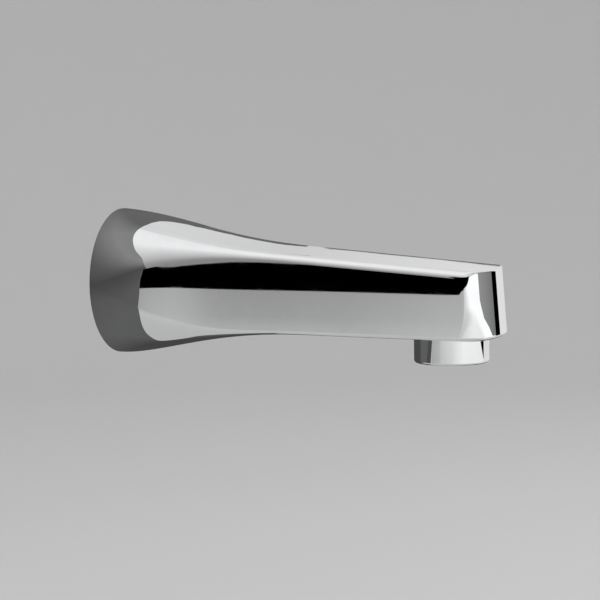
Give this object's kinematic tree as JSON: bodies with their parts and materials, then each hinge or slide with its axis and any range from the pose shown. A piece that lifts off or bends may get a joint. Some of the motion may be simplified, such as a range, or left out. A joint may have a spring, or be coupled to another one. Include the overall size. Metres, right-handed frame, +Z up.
{
  "type": "wall mounted bath spout",
  "caption": "Wall mounted chrome bath spout: round wall flare narrowing to a flat-sided body with a bowed nose and a round pull-down diverter ring at the outlet.",
  "frame": {"origin": "centre of the round flange on the wall face", "axes": "+Y into the wall, so the spout projects along -Y; +Z up; X across the body"},
  "size_m": [0.065, 0.1786, 0.065],
  "materials": {
    "spout_shell": "polished chrome plate on a cast body",
    "diverter_ring": "polished chrome plate",
    "wall_gasket": "closed-cell foam rubber",
    "inlet_adapter": "turned brass",
    "adapter_o_rings": "nitrile rubber",
    "adapter_screws": "zinc plated steel",
    "set_screw": "stainless steel",
    "waterway_tube": "moulded acetal",
    "tube_rear_o_ring": "nitrile rubber",
    "tube_front_o_ring": "nitrile rubber",
    "seat_gasket": "red fibre washer",
    "diverter_seat": "turned brass",
    "guide_band": "nylon",
    "return_spring": "stainless spring wire",
    "diverter_stem": "turned brass",
    "poppet_disc": "turned brass",
    "poppet_seal": "rubber washer",
    "seal_retainer": "stainless washer",
    "poppet_clip": "stainless clip",
    "flow_straightener": "white acetal",
    "snap_ring": "spring steel",
    "stem_screw": "stainless steel"
  },
  "bodies": {
    "spout": {"spout_shell": "spout_shell", "wall_gasket": "wall_gasket", "inlet_adapter": "inlet_adapter", "adapter_o_rings": "adapter_o_rings", "adapter_screws": "adapter_screws", "set_screw": "set_screw", "waterway_tube": "waterway_tube", "tube_rear_o_ring": "tube_rear_o_ring", "tube_front_o_ring": "tube_front_o_ring", "seat_gasket": "seat_gasket", "diverter_seat": "diverter_seat", "guide_band": "guide_band", "return_spring": "return_spring"},
    "diverter": {"diverter_ring": "diverter_ring", "flow_straightener": "flow_straightener", "snap_ring": "snap_ring", "diverter_stem": "diverter_stem", "stem_screw": "stem_screw", "seal_retainer": "seal_retainer", "poppet_seal": "poppet_seal", "poppet_disc": "poppet_disc", "poppet_clip": "poppet_clip"}
  },
  "joints": [
    {"name": "diverter_slide", "type": "slide", "parent": "spout", "child": "diverter", "axis": [0, 0, -1], "range_m": [0, 0.0059], "stiffness_N_per_m": 300, "springref_m": -0.008, "deforming": ["return_spring"]}
  ]
}
